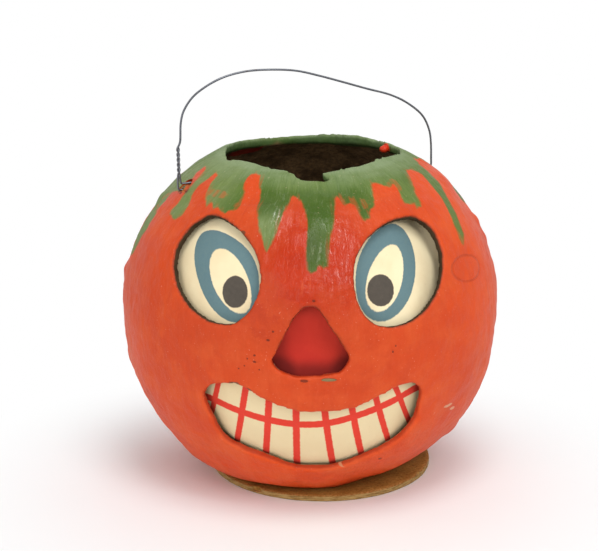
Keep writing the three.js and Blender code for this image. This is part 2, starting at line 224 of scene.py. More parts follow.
# The knife's work: five plugs taken out of it
plugs = bmesh.new()
for outline in (LEFT_EYE, RIGHT_EYE, NOSE, MOUTH):
    loose = bpy.data.meshes.new("plug")
    plug_through_wall(outline, -2 * WALL, PLUG_RISE).to_mesh(loose)
    plugs.from_mesh(loose)
prism(plugs, [(x, y, NECK_CUT[0]) for x, y in smooth_loop(NECK, 3)], 2, NECK_CUT[1])
cut_away(body, from_build("knife", plugs))

# Fine even pulp, its cut edges rounded by the paint
with_modifier(body, "REMESH", mode="VOXEL", voxel_size=PULP_GRAIN)
with_modifier(body, "SMOOTH", factor=0.5, iterations=3)

# Lumps and facets of the pressing: angle round the body, distance up the wall, height and spread
LUMPS = [
    (-88, 34.5, 0.7, 2.6), (-92, 30, -0.4, 3), (-90, 11.5, 0.8, 2), (-91, 16, -0.35, 4),
    (-90, -14.5, 0.9, 4.5), (-86, -24, 0.5, 5), (60.8, 26, 0.35, 2.6), (88, 26.5, 0.8, 2.6),
    (89, 21, 0.55, 2.4), (90, 31, -0.4, 3), (88, 40, 0.5, 4), (91, 3, 0.4, 7), (88, -9, -0.3, 5),
    (40, -41, 0.3, 4), (2, -47, 0.45, 4), (-18, -46, 0.35, 5), (20, -46, -0.35, 4), (-4, 21, 0.5, 7),
    (4, 30, 0.4, 8), (-60, 0, 0.3, 8), (55, -20, 0.35, 7), (-48, -25, 0.3, 6), (150, 20, 0.6, 7),
    (-140, -8, 0.5, 8), (176, -25, 0.5, 6), (-165, 30, 0.5, 6), (125, 34, 0.4, 5), (118, -18, 0.5, 7),
    (-16.2, 40, 0.9, 4), (-27.8, 38, 0.5, 3.5), (11.5, 32, 0.7, 4), (10, 24, 0.5, 4), (10, 19.2, 0.5, 2.5),
    (-7.2, 37.5, -0.6, 3.5), (3.8, 29.4, -0.4, 3), (-3.7, 29, 0.3, 4), (-12.6, 23.3, 0.3, 4),
    (-23, 44, -0.5, 4), (8.9, 46.8, -0.6, 4), (-10, 46, -0.4, 4), (25, 45, -0.3, 4), (6.6, 23.8, -0.3, 2),
    (-83, -39, 0.7, 5), (-72, -46, 0.6, 5), (80, -36, 1.2, 4.5), (83, -44, 0.9, 5), (10, -44, 0.5, 6),
    (-14, -44, 0.4, 5),
]


def places_of(mesh):
    place = np.empty(len(mesh.vertices) * 3, np.float32)
    mesh.vertices.foreach_get("co", place)
    return place.reshape(-1, 3).astype(float)


def put_places(mesh, place):
    mesh.vertices.foreach_set("co", place.astype(np.float32).ravel())


def give_fields(mesh, **fields):
    """Values at the mesh's points, which its finish reads."""
    for name, values in fields.items():
        mesh.attributes.new(name, "FLOAT", "POINT").data.foreach_set("value", values.astype(np.float32))


mesh = body.data
place = places_of(mesh)
around, up, depth = from_wall(place)
angle = np.radians(around)
out = np.interp(up, wall_up, face_out)
outward = np.stack([out * np.sin(angle), -out * np.cos(angle), np.interp(up, wall_up, face_up)], -1)
swell = np.array([
    0.6 * noise.noise(Vector(point) / 21)
    + 0.34 * abs(noise.noise(Vector(point) / 12 + Vector((7, 3, 1))))
    + 0.2 * noise.noise(Vector(point) / 5)
    + 0.12 * noise.noise(Vector(point) / 2.2)
    for point in place
])
for lump_around, lump_up, lump_out, spread in LUMPS:
    aside = np.radians((around - lump_around + 180) % 360 - 180) * np.interp(up, wall_up, wall_radius)
    swell += lump_out * np.exp(-(aside**2 + (up - lump_up) ** 2) / spread**2)
collar = np.exp(-((around / 42) ** 4))
swell += collar * (0.45 * np.exp(-(((up - 51) / 3) ** 2)) - 0.75 * np.exp(-(((up - 44.5) / 3.6) ** 2)))
seam = np.exp(-((place[:, 1] / 1.1) ** 2))
swell -= 0.22 * seam
skin = np.clip(1 - depth / WALL, 0, 1) ** 0.6
footing = np.clip((place[:, 2] - FOOT_HEIGHT) / 4, 0, 1)
place += outward * ((swell - 0.2) * skin * footing)[:, None]

# The foot spreads a little unevenly on the card
spread = np.interp(
    around,
    [-180, -100, -57, -38, -21, 0, 14, 33, 59, 100, 180],
    [0, 1.0, 2.3, 1.9, 0.8, 1.2, 1.1, -1.2, 0.2, 0.6, 0],
)
spread *= np.clip((15 - place[:, 2]) / 12, 0, 1) ** 1.3 / np.hypot(place[:, 0], place[:, 1])
place[:, :2] *= 1 + spread[:, None]
ragged = np.array([noise.noise_vector(Vector(point) / 1.7) for point in place])
cut_edge = np.exp(-(((depth - WALL / 2) / 1.0) ** 2))
place += ragged * (0.22 * cut_edge * footing)[:, None]
put_places(mesh, place)

# The lower edge of the green paint, all round the body: angle and distance up the wall
PAINT_EDGE = [
    (-77.2, 21.8), (-75.4, 25.7), (-75.6, 30), (-76.7, 31.5), (-82.3, 32.5), (-82.6, 35.1),
    (-81.2, 36.7), (-72.7, 39.2), (-67.2, 39.9), (-65, 41.8), (-65.5, 44.9), (-69.7, 48.8),
    (-73.6, 49.1), (-73.6, 46.6), (-70.1, 43.2), (-65, 42.4), (-64.5, 39), (-63.9, 36.5),
    (-65, 34.2), (-62.7, 32.9), (-58.5, 32.3), (-55.7, 34.2), (-56.3, 37.5), (-58.6, 40),
    (-59.6, 43), (-58.3, 45.7), (-58, 47.9), (-58, 49), (-55, 48.3), (-54, 45.9), (-52.1, 43.7),
    (-50.6, 42), (-48, 39.8), (-45.5, 38.4), (-45.1, 40.2), (-41.1, 38.3), (-40.2, 39.1),
    (-37, 38.1), (-34.3, 37.4), (-32.7, 38.6), (-30.1, 39.2), (-29.3, 40.3), (-30.6, 42.6),
    (-31.6, 45), (-34, 47.9), (-34, 49.6), (-33.2, 51.2), (-31.3, 51.7), (-28.1, 50.9),
    (-25.3, 47.5), (-24, 44.9), (-22.1, 40.8), (-19.9, 37.1), (-18.3, 33.5), (-16.5, 30.7),
    (-14.6, 28.7), (-13.6, 30.9), (-12.4, 34.4), (-11.2, 38.2), (-9.9, 42.7), (-9.1, 45.6),
    (-8, 46), (-5.8, 45.2), (-3.9, 43.5), (-2.6, 40.3), (-1.7, 36.5), (-1.6, 32.2), (-1.7, 27.5),
    (-1, 24.2), (-0.2, 23.2), (1.4, 23.8), (2.4, 25.5), (4, 24.5), (5.2, 25.4), (5.4, 27.4),
    (6.3, 30.8), (7.9, 35), (8.8, 37.9), (9.9, 41.8), (11, 45.1), (12, 45.9), (13.5, 45),
    (13.9, 42.8), (15.3, 42), (16.7, 42.7), (18.8, 42.2), (19.3, 39.7), (19.9, 37.4), (20.6, 36.4),
    (22.7, 37.6), (23.6, 39.4), (27.1, 41.2), (28.5, 43.2), (30, 45.7), (31.6, 48.4), (33.8, 48),
    (37.3, 46.9), (39.7, 45.7), (43, 46.7), (43.3, 45.2), (41.8, 42.7), (41, 39.8), (43.5, 39.4),
    (46, 39.5), (45.5, 37.9), (48.7, 37.9), (50.2, 40.7), (52.5, 43.5), (55.8, 46.5), (60.2, 49.4),
    (66, 48.7), (67.5, 47.3), (68, 46.1), (67.2, 44.1), (65.8, 40.9), (64.6, 37.4), (62.2, 33.6),
    (60.2, 30), (59.2, 26.7), (59.4, 24.8), (62.6, 27.2), (65, 30.6), (67.9, 34.2), (70.5, 37.7),
    (75.3, 41.5), (76.7, 44.5), (77.7, 47.1), (85.5, 50.8), (94, 48.5), (95.3, 43), (92, 39.5),
    (88.6, 36.8), (91, 33), (95, 29), (98, 35), (101, 41), (105, 44), (110, 41), (113, 33), (116, 25),
    (119, 27), (122, 36), (127, 43), (132, 45), (136, 41), (138, 35), (141, 32), (144, 38), (149, 44),
    (154, 42), (157, 33), (160, 24), (163, 21), (166, 28), (170, 38), (175, 44), (181, 45), (186, 40),
    (189, 34), (192, 37), (196, 43), (202, 46), (207, 41), (210, 31), (212, 26), (215, 30), (219, 39),
    (225, 44), (231, 45), (235, 39), (238, 31), (241, 29), (244, 36), (249, 43), (255, 45), (259, 40),
    (262, 34), (265, 31), (268, 34), (270, 30), (272, 23), (277, 16.5), (281, 18), (282.8, 21.8),
]


def above_edge(around, up):
    """How far points of the wall lie inside the green paint; it is negative outside."""
    edge = np.array(PAINT_EDGE)
    line = on_wall(edge[:, 0], edge[:, 1], 0)
    head, run = line[:-1], np.diff(line, axis=0)
    here = on_wall(around, up, 0)
    distance = np.empty(len(here))
    for start in range(0, len(here), 4000):
        from_head = here[start : start + 4000, None] - head[None]
        share = np.clip((from_head * run).sum(-1) / (run**2).sum(-1), 0, 1)
        gap = from_head - share[..., None] * run
        distance[start : start + 4000] = np.sqrt((gap**2).sum(-1)).min(1)
    turn = (around + 77.2) % 360 - 77.2
    crossings = np.zeros(len(here), int)
    for (a0, u0), (a1, u1) in zip(edge[:-1], edge[1:]):
        if a0 != a1:
            spans = (a0 > turn) != (a1 > turn)
            crossings += spans & (u0 + (turn - a0) / (a1 - a0) * (u1 - u0) > up)
    return np.where(crossings % 2 == 0, distance, -distance)


give_fields(mesh, up=up, depth=depth, green=above_edge(around, up))


def half_of(whole, name, side):
    """The front half of the body, or the rear half, closed where it was pressed flat."""
    build = bmesh.new()
    build.from_mesh(whole)
    cut_line = bmesh.ops.bisect_plane(
        build,
        geom=build.verts[:] + build.edges[:] + build.faces[:],
        plane_co=(0, 0, 0),
        plane_no=(0, side, 0),
        clear_inner=True,
    )
    edges = [part for part in cut_line["geom_cut"] if isinstance(part, bmesh.types.BMEdge)]
    joint = bmesh.ops.edgeloop_fill(build, edges=edges)["faces"]
    bmesh.ops.triangulate(build, faces=joint)
    return from_build(name, build)


# The bail's own frame: X along its swing axis from left to right, Z up its legs
AXIS_HEIGHT = 80.01149
AXIS_TILT = math.radians(0.9648)
BAIL_TURN = math.radians(19.7)
BAIL_SWING = 74
STRAND_SPACING = 1.7
HOLE_RADIUS = 0.55
AWL_REACH = 7
bail_place = (
    Matrix.Translation((0, 0, AXIS_HEIGHT))
    @ Matrix.Rotation(BAIL_TURN, 4, "Z")
    @ Matrix.Rotation(-AXIS_TILT, 4, "Y")
)

# How far out the left and right end of the bail pass the wall, at the heights of their holes
LEFT_OUT, RIGHT_OUT = (float(np.interp(height, wall_height, wall_radius)) for height in (79.4, 80.6))


def awl(outline, out, side):
    """A hole through the shoulder, along the swing axis, with the given outline round the axis."""
    build = bmesh.new()
    prism(build, [(side * (out - AWL_REACH), y, z) for y, z in outline], 0, side * (out + AWL_REACH))
    split_ends(build)
    build.transform(bail_place)
    return from_build("awl", build)


def on_arc(radius, turn):
    return radius * math.sin(turn), radius * math.cos(turn)


round_hole = [
    (HOLE_RADIUS * math.cos(turn), HOLE_RADIUS * math.sin(turn))
    for turn in np.linspace(0, 2 * math.pi, 16, endpoint=False)
]
half_sweep = math.radians(BAIL_SWING) + HOLE_RADIUS / STRAND_SPACING
sweep = np.linspace(-half_sweep, half_sweep, 25)
torn = [0.35 + 0.3 * abs(wander(turn * 1.9, 2.2, 0)) for turn in sweep]
worn_slot = [on_arc(STRAND_SPACING + HOLE_RADIUS + extra, turn) for turn, extra in zip(sweep, torn)]
worn_slot += [on_arc(STRAND_SPACING - HOLE_RADIUS, turn) for turn in sweep[::-1]]

front = half_of(body.data, "front_half", -1)
cut_away(front, awl(round_hole, LEFT_OUT, -1))
cut_away(front, awl(worn_slot, LEFT_OUT, -1))
rear = half_of(body.data, "rear_half", 1)
cut_away(rear, awl(round_hole, RIGHT_OUT, 1))
bpy.data.objects.remove(body)

# A dried drop of red paint inside the rim at the right
DROP_AT = Vector((20.3, 10.7, 85.6))
flattened = Matrix.Translation(DROP_AT) @ Matrix.Diagonal((1, 1, 0.8, 1))
build = bmesh.new()
build.from_mesh(rear.data)
bmesh.ops.create_icosphere(build, subdivisions=3, radius=1.3, matrix=flattened)
build.to_mesh(rear.data)
build.free()


def tint(colour):
    """A colour given in screen values, as the shader takes it."""
    screen = np.array(colour) / 255
    light = np.where(screen <= 0.04045, screen / 12.92, ((screen + 0.055) / 1.055) ** 2.4)
    return (*light.tolist(), 1.0)


class Value:
    """A socket among a finish's nodes. Sums on it add Math nodes, and node() adds any other node."""

    def __init__(self, tree, socket=None):
        self.tree = tree
        self.socket = socket

    def node(self, kind, settings, sockets, output=0):
        made = self.tree.nodes.new(kind)
        for name, setting in settings.items():
            setattr(made, name, setting)
        for place, value in sockets.items():
            if isinstance(value, Value):
                self.tree.links.new(value.socket, made.inputs[place])
            else:
                made.inputs[place].default_value = value
        return Value(self.tree, made.outputs[output])

    def maths(self, operation, *values):
        return self.node("ShaderNodeMath", {"operation": operation}, dict(enumerate(values)))

    def __add__(self, other):
        return self.maths("ADD", self, other)

    __radd__ = __add__

    def __sub__(self, other):
        return self.maths("SUBTRACT", self, other)

    def __rsub__(self, other):
        return self.maths("SUBTRACT", other, self)

    def __mul__(self, other):
        return self.maths("MULTIPLY", self, other)

    __rmul__ = __mul__

    def __truediv__(self, other):
        return self.maths("DIVIDE", self, other)

    def __pow__(self, other):
        return self.maths("POWER", self, other)

    def __abs__(self):
        return self.maths("ABSOLUTE", self)

    def exp(self):
        return self.maths("EXPONENT", self)

    def greater(self, other):
        return self.maths("MAXIMUM", self, other)

    def rise(self, low, high):
        """0 below low, 1 above high and an eased rise between; low may be the greater."""
        eased = {"interpolation_type": "SMOOTHSTEP"}
        return self.node("ShaderNodeMapRange", eased, {"Value": self, "From Min": low, "From Max": high})

    def over(self, under, cover):
        """The cover's colour laid over the other through this mask; 6, 7 and 2 are the colour sockets."""
        under, cover = (side if isinstance(side, Value) else tint(side) for side in (under, cover))
        return self.node("ShaderNodeMix", {"data_type": "RGBA"}, {0: self, 6: under, 7: cover}, 2)

    def speckle(self, where, size, detail=3.0, roughness=0.55):
        """Noise from about 0 to 1, whose grains are about size metres across."""
        settled = {"Vector": where, "Scale": 1 / size, "Detail": detail, "Roughness": roughness}
        return self.node("ShaderNodeTexNoise", {}, settled)

    def spot(self):
        """The place of the point that is shaded, in metres."""
        return self.node("ShaderNodeTexCoord", {}, {}, "Object")

    def parts(self):
        """The X, Y and Z of a place."""
        split = self.node("ShaderNodeSeparateXYZ", {}, {0: self}).socket.node
        return [Value(self.tree, part) for part in split.outputs]

    def place(self, x, y, z):
        return self.node("ShaderNodeCombineXYZ", {}, {0: x, 1: y, 2: z})

    def far_from(self, middle):
        """How far a place is from a middle."""
        return self.node("ShaderNodeVectorMath", {"operation": "DISTANCE"}, {0: self, 1: middle}, "Value")

    def field(self, name):
        return self.node("ShaderNodeAttribute", {"attribute_name": name}, {}, "Fac")

    def show(self, kind="ShaderNodeOutputMaterial"):
        """End the nodes with this shader."""
        self.tree.links.new(self.socket, self.tree.nodes.new(kind).inputs["Surface"])


def new_finish(name):
    finish = bpy.data.materials.new(name)
    finish.use_nodes = True
    finish.node_tree.nodes.clear()
    return finish, Value(finish.node_tree)


def surface(start, colour, roughness, relief, depth, gloss=0.5, metal=0.0):
    """The surface shader, with its colour, roughness and a relief depth metres high."""
    normal = start.node("ShaderNodeBump", {}, {"Strength": 1.0, "Distance": depth, "Height": relief})
    sockets = {"Base Color": colour, "Roughness": roughness, "Specular IOR Level": gloss}
    return start.node("ShaderNodeBsdfPrincipled", {}, {**sockets, "Metallic": metal, "Normal": normal})


def painted(colour, *layers):
    """A colour with others laid over it, each through its own mask."""
    for mask, cover in layers:
        colour = mask.over(colour, cover)
    return colour


# Marks of age: angle round the body, distance up the wall, half width aside and half height, in mm
PITS = [
    (0.7, 16.7, 0.35, 0.28), (-10.7, 8.9, 0.28, 0.24), (-12.1, 6.7, 0.4, 0.25), (-14.6, -1.1, 0.22, 0.2),
    (-16, 2.5, 0.3, 0.25), (-16, 0.9, 0.42, 0.25), (-20.8, -1.4, 0.2, 0.2), (-18.1, 1.5, 0.22, 0.2),
    (-19, -0.4, 0.2, 0.2), (-7.8, 1.7, 0.22, 0.2), (-7.8, 0.1, 0.2, 0.2), (-4.9, 12.3, 0.3, 0.22),
    (23.4, 2.8, 0.25, 0.3), (24.3, 4.2, 0.22, 0.22), (-6.5, 9.5, 0.3, 0.25), (25.2, -31, 0.45, 0.35),
    (-2, -3.5, 0.9, 0.35), (100, 12, 0.4, 0.4), (140, -10, 0.5, 0.4), (-150, 5, 0.4, 0.5),
    (175, 28, 0.5, 0.4), (-120, -22, 0.4, 0.4),
]
CHIPS = [
    (46.9, -16.6, 1.7, 0.5), (49.8, -18.2, 1.0, 0.45), (-62.7, 55.9, 0.8, 0.5),
    (-15, 55.2, 1.6, 0.35), (130, -30, 1.2, 0.6), (-100, 40, 0.8, 0.5),
]
STAINS = [
    (-12.2, 9.8, 4.5, 3), (-16.1, 13, 3, 2.5), (-4.5, 26.5, 3, 2), (6.6, 22, 5, 1.6), (-2, 18, 6, 1.6),
    (160, 0, 8, 4), (-130, 20, 6, 3), (-62, -20, 4, 5),
]
BARE = [
    (-27.7, 40.8, 3, 1.5), (18.3, 42.5, 4, 2.6), (42.9, 46, 2.4, 2.2), (-45, 43, 4, 1.2),
    (108, 46, 4, 3), (200, 44, 4, 3), (-120, 45, 4, 3),
]

paint, start = new_finish("painted_pulp")
spot = start.spot()
across, away, _ = spot.parts()
reach = (across * across + away * away) ** 0.5
turn = start.maths("ARCTAN2", across, away * -1.0) * (180 / math.pi)
up = start.field("up")
depth = start.field("depth")
green = start.field("green")
ahead = across / reach * 0.05
aside = away / reach * 0.05
strokes = start.speckle(start.place(ahead, aside, up * 0.00006), 0.0022, 4.0, 0.6)
wide = start.speckle(spot, 0.022, 2.0, 0.5)
patches = start.speckle(spot, 0.007, 4.0, 0.6)
swerve = (patches - 0.5) * 0.004
hairs = start.speckle(start.place(ahead + swerve, aside, up * 0.0002), 0.0007, 4.0, 0.65)
grain = start.speckle(spot, 0.0011, 6.0, 0.65)
dust = start.speckle(spot, 0.0005, 2.0, 0.5)


def mark(around_at, up_at, half_width, half_height, ragged=0.35):
    """A mask, 1 inside an oval mark on the wall, with a ragged edge."""
    girth = float(np.interp(up_at, wall_up, wall_radius)) * math.pi / 180
    beside = (turn - around_at) * (girth / half_width)
    rise = (up - up_at) * (1 / half_height)
    return (beside * beside + rise * rise + (grain - 0.5) * (4 * ragged)).rise(1.25, 0.75)


def any_mark(marks, ragged=0.35):
    first, *others = (mark(*place, ragged) for place in marks)
    for other in others:
        first = first.greater(other)
    return first


def bell(turn_at, up_at, turn_spread, up_spread):
    """A mask that fades out softly from 1 at its middle."""
    beside = ((turn - turn_at) * (1 / turn_spread)) ** 2
    return (beside * -1.0 - ((up - up_at) * (1 / up_spread)) ** 2).exp()


# Orange: brick red where it is thick and glossy on the brow, chalky and paler lower down
dimples = start.speckle(spot, 0.0024, 3.0, 0.5)
brow = (bell(2, 28, 24, 19) * ((patches - 0.5) * 2.0).exp()).rise(0.3, 0.95)
chalk = (up.rise(8, -20) * 0.5 + 0.15) * patches.rise(0.3, 0.7)
orange = painted(
    wide.rise(0.35, 0.65).over((218, 74, 18), (208, 68, 20)),
    (patches.rise(0.42, 0.75) * 0.6, (224, 92, 36)),
    (strokes.rise(0.5, 0.8) * 0.4, (192, 54, 14)),
    # Painted shade: a wide darkening over the middle of the face, where the lamps from the front fall most
    # fully
    (bell(-5, 22, 44, 28) * 0.85, (176, 58, 20)),
    (brow * 0.8, (180, 38, 5)),
    (chalk * 0.7, (214, 88, 44)),
    (hairs.rise(0.52, 0.72) * (0.1 + brow * 0.25), (170, 52, 18)),
    (hairs.rise(0.46, 0.28) * (0.06 + brow * 0.16), (236, 124, 84)),
    (any_mark(STAINS, 0.9) * patches.rise(0.3, 0.6) * 0.4, (168, 40, 14)),
)

# Green: brushed on thinly, so that the orange shows at its edges, with a painted highlight on the left drip,
# a band of painted shade under the collar, darker in the middle and grey with dust near the neck
thin = (strokes.rise(0.5, 0.7) * green.rise(1.6, 0.2)).greater(
    any_mark(BARE, 0.8) * strokes.rise(0.36, 0.62) * 0.8
)
dusty = up.rise(46.5, 52) * (0.35 + 0.65 * patches.rise(0.3, 0.6))
paler = (turn.rise(-28, -46) * 0.5 + turn.rise(20, 40) * 0.2) * abs(turn).rise(105, 80)
leaf = painted(
    wide.rise(0.3, 0.7).over((72, 100, 30), (98, 118, 46)),
    (strokes.rise(0.45, 0.75) * 0.5, (60, 90, 22)),
    (paler, (128, 142, 88)),
    # Painted highlight: a pale patch on the left drip
    (bell(-17, 36, 6, 7) * 0.5, (140, 152, 104)),
    # Painted shade: a darker band under the collar, where the wall above flares out
    (up.rise(36, 40) * up.rise(49, 46) * abs(turn).rise(34, 18) * 0.65, (56, 84, 14)),
    (bell(-0.5, 30, 7, 9) * 0.75, (46, 68, 6)),
    (dusty * 0.6, (134, 150, 110)),
    (hairs.rise(0.5, 0.7) * 0.28, (58, 86, 26)),
    (hairs.rise(0.46, 0.28) * 0.22, (158, 168, 124)),
)
edge_run = green + (strokes - 0.5) * 1.9 + (grain - 0.5) * 0.6 + (patches - 0.5) * 0.8
leafy = edge_run.rise(-0.35, 0.4) * (1 - thin * 0.5)
rim_dust = up.rise(52, 54) * (0.4 + 0.6 * patches.rise(0.3, 0.55)) * leafy

# Streaks where the varnish is thick enough to gleam: right of the middle drip and on the left one
streaks = (bell(10, 28, 6, 10) + bell(-14, 38, 4, 7)) * hairs.rise(0.5, 0.34)

# Wear: pits, chips that show the pulp, a slit under the nose and a ring pressed into the cheek
pits = any_mark(PITS)
chips = any_mark(CHIPS)
slit = mark(4.9, -3.2, 1.9, 0.42, 0.2)
torn = mark(-68.8, 40.7, 2.6, 1.5, 0.6)
frayed = any_mark([(-22.5, -5.8, 1.6, 0.5), (-18.4, -6.9, 0.9, 0.4), (28, -7, 1.2, 0.4)], 1.0)
lobe_a = (turn - 57.6) * 0.11 + (up - 18.8) * -0.082
lobe_b = (turn - 57.6) * 0.0566 + (up - 18.8) * 0.283
ring = abs((lobe_a * lobe_a + lobe_b * lobe_b) ** 0.5 - 1.0).rise(0.1, 0.03)
coat = painted(
    leafy.over(orange, leaf),
    (rim_dust * 0.3, (150, 166, 132)),
    (dust.rise(0.68, 0.76) * 0.25, (238, 196, 170)),
    (torn * 0.85, (104, 40, 28)),
    (pits * 0.75, (96, 38, 22)),
    (chips * 0.7, (222, 180, 146)),
    (slit * 0.9, (120, 118, 82)),
    (ring * 0.25, (160, 50, 20)),
    (frayed * 0.8, (96, 80, 54)),
)

# Bare pulp inside and on the cut edges of the eyes. The paint was carried over the lip of the neck
# and into the edges of the nose and mouth.
# Painted shade: the cut edges of the eyes are darkened well below the pulp's own colour
eye_edge_shade = up.rise(3, 6) * up.rise(43, 41) * abs(turn).rise(68, 62)
pulp = painted(
    grain.rise(0.3, 0.7).over((112, 88, 60), (160, 130, 92)),
    (patches.rise(0.4, 0.7), (88, 68, 46)),
    (eye_edge_shade * 0.88, (42, 30, 12)),
    (mark(-139, 49.3, 6, 3.4, 0.5) * 0.85, (170, 36, 24)),
)
lip = (up + (patches - 0.5) * 4.0).rise(50.2, 51.6)
nose_edge = abs(turn).rise(15, 13) * up.rise(18, 16)
painted_in = nose_edge.greater(up.rise(6, 4)) * abs(turn).rise(60, 50)
# The paint on the cut edges darkens the deeper it reaches into the wall, more so at the neck
deep_edge_colour = leafy.over((150, 40, 22), (54, 82, 30))
coat = (depth.rise(0.3, 1.2) * (0.6 + up.rise(48, 50) * 0.15)).over(coat, deep_edge_colour)
# Painted shade: a darker red rim round the eye openings
coat = painted(coat, (depth.rise(0.02, 0.4) * eye_edge_shade * 0.6, (120, 46, 24)))
under_paint = (depth - painted_in * 1.35 + (grain - 0.5) * 0.7).rise(0.35, 0.75) * (1 - lip)
drop = (spot.far_from(DROP_AT * 0.001) + (grain - 0.5) * 0.0004).rise(0.0019, 0.0015)
coat = painted(
    under_paint.over(coat, pulp),
    (mark(9.2, -33.9, 2.3, 0.2, 0.4) * 0.6, (206, 158, 118)),
    (mark(-24.6, 33.1, 0.7, 0.5, 0.6) * 0.8, (92, 60, 34)),
    (drop * 0.95, (214, 54, 26)),
)
dull = 0.5 - brow * 0.26 + (patches - 0.5) * 0.3 + (hairs - 0.5) * 0.3 + dusty * leafy * 0.25
dull = dull + under_paint * 0.35 - streaks * 0.14 - up.rise(5, 30) * (1 - dusty) * 0.06
dull = dull + leafy * up.rise(36, 30) * 0.12 - drop * 0.3
relief = grain * (0.55 - brow * 0.3) + dimples * 0.8 + strokes * (0.3 + brow * 0.8) + patches * 0.5
relief = relief + hairs * (0.1 + brow * 0.5) - pits * 1.6 - slit * 1.2 - ring * 0.6 - chips * 0.5 - torn
relief = relief - frayed * 0.6
surface(start, coat, dull.maths("MINIMUM", dull, 0.95), relief, 0.0003, 0.22 + streaks * 0.8).show()

METRES = Matrix.Scale(0.001, 4)


def hand_over(piece, finish, sharp, node, body="lantern"):
    """Shade the piece smooth up to its sharp edges, give it its finish and put it in its solid's place."""
    mesh = piece.data
    mesh.polygons.foreach_set("use_smooth", [True] * len(mesh.polygons))
    mesh.set_sharp_from_angle(angle=math.radians(sharp))
    mesh.materials.clear()
    mesh.materials.append(finish)
    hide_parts(node)
    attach(piece, body)


for half, node in ((front, "front_shell"), (rear, "rear_shell")):
    half.data.transform(METRES)
    hand_over(half, paint, 50, node)


# Printed paper
# One sheet of cream paper printed in blue, black and red, roughly trimmed, wetted with paste and
# pressed against the inside of the front half. It has pulled away a little behind the nose, the outer
# sides of the eyes and the corners of the mouth.

PASTE = 0.4
FACE_PAPER = 0.4
CUT_WAVE = 0.35


def eased(values, low, high):
    share = np.clip((values - low) / (high - low), 0, 1)
    return share * share * (3 - 2 * share)


def face_sag(around, up):
    aside = np.abs(around)
    at_eyes = np.where(around < 0, 0.7, 2.6) * eased(aside, 30, 50) * eased(up, 0, 10)
    at_nose = 3.4 * np.exp(-((aside / 13) ** 2) - ((up - 5) / 9) ** 2)
    at_mouth = 1.2 * eased(aside, 25, 38) * (1 - eased(up, 0, 10))
    return (at_eyes + at_nose + at_mouth) * (1 - eased(aside, 50, 57))


def glued_sheet(name, from_to, low_high, thickness, sag, columns, rows):
    """A sheet inside the wall, slightly crumpled and with edges cut by hand."""
    grid = np.meshgrid(np.linspace(*from_to, columns), np.linspace(*low_high, rows))
    around, up = (values.ravel() for values in grid)
    girth = math.radians(1) * GIRTH_RADIUS
    under = rows * columns
    for place in [row * columns + column for row in range(rows) for column in (0, columns - 1)]:
        around[place] += CUT_WAVE / girth * (wander(up[place] / 9, around[place], 3) - 0.5)
    for place in [*range(columns), *range(under - columns, under)]:
        up[place] += CUT_WAVE * (wander(around[place] * girth / 11, up[place], 5) - 0.5)
    flat = [Vector((a * girth, u, from_to[0])) for a, u in zip(around, up)]
    crumple = [0.3 * abs(noise.noise(spot / 9)) + 0.08 * abs(noise.noise(spot / 2.5)) for spot in flat]
    depth = WALL + PASTE + sag(around, up) + np.array(crumple)
    places = np.concatenate([on_wall(around, up, -depth), on_wall(around, up, -depth - thickness)]) * 0.001
    faces = []
    for row in range(rows - 1):
        for column in range(columns - 1):
            corner = row * columns + column
            ring = (corner, corner + 1, corner + columns + 1, corner + columns)
            faces += [ring, tuple(under + place for place in reversed(ring))]
    rim = [*range(columns), *range(2 * columns - 1, under, columns)]
    rim += [*range(under - 2, under - columns - 1, -1), *range(under - 2 * columns, 0, -columns)]
    faces += [(a, under + a, under + b, b) for a, b in zip(rim, rim[1:] + rim[:1])]
    mesh = new_mesh(name, places, faces)
    aside = np.radians(around - sum(from_to) / 2) * np.interp(up, wall_up, wall_radius)
    give_fields(mesh, aside=np.tile(aside, 2), up=np.tile(up, 2), back=np.repeat([0.0, 1.0], under))
    return new_piece(name, mesh)


insert = glued_sheet("printed_sheet", (-57, 57), (-39, 41), FACE_PAPER, face_sag, 115, 82)

printed, start = new_finish("printed_paper")
spot = start.spot()
aside = start.field("aside")
height = start.field("up")
back = start.field("back")
fibre = start.speckle(spot, 0.0009, 5.0, 0.6)
stain = start.speckle(spot, 0.012, 3.0, 0.55)
bleed = (start.speckle(spot, 0.0007, 3.0, 0.5) - 0.5) * 0.35


def egg(middle_aside, middle_up, half_width, half_height, lean, swell):
    """The part of the print inside an egg, half_width by half_height and leaning by lean radians."""
    from_middle = aside - middle_aside
    from_level = height - middle_up
    along = from_level * math.cos(lean) - from_middle * math.sin(lean)
    square = from_middle * math.cos(lean) + from_level * math.sin(lean)
    square = square / (along * (half_width * swell / half_height) + half_width)
    along = along * (1 / half_height)
    return ((square * square + along * along) ** 0.5 * half_width - half_width + bleed).rise(0.14, -0.14)


sheet_colour = painted(
    (242, 226, 186),
    (stain.rise(0.35, 0.7) * 0.6, (230, 206, 162)),
    # Painted shade: the sheet darkens towards its bottom, over the teeth
    (height.rise(2, -8) * 0.7, (226, 206, 162)),
    (fibre.rise(0.6, 0.75) * 0.3, (214, 190, 148)),
)
blue = fibre.over((90, 120, 129), (106, 131, 131))
pupil = fibre.over((70, 64, 58), (92, 84, 74))
red = (fibre * 0.6 + stain * 0.4).over((236, 66, 50), (206, 60, 44))
art = sheet_colour
for ring, oval, dot in (
    (
        (-23.65, 22.65, 12.75, 9.5, 2.164, 0.2),
        (-22.15, 20.6, 5.35, 9.0, 0.517, 0.077),
        (-20.603, 17.953, 3.651, 4.299, -0.298, -0.032),
    ),
    (
        (21.0, 23.35, 9.2, 13.25, -0.245, 0.033),
        (20.18, 21.7, 5.2, 9.0, -0.32, -0.047),
        (18.656, 18.561, 3.758, 4.297, 0.358, -0.016),
    ),
):
    art = egg(*ring).over(art, blue)
    art = egg(*oval).over(art, sheet_colour)
    art = egg(*dot).over(art, pupil)
gum = aside * aside
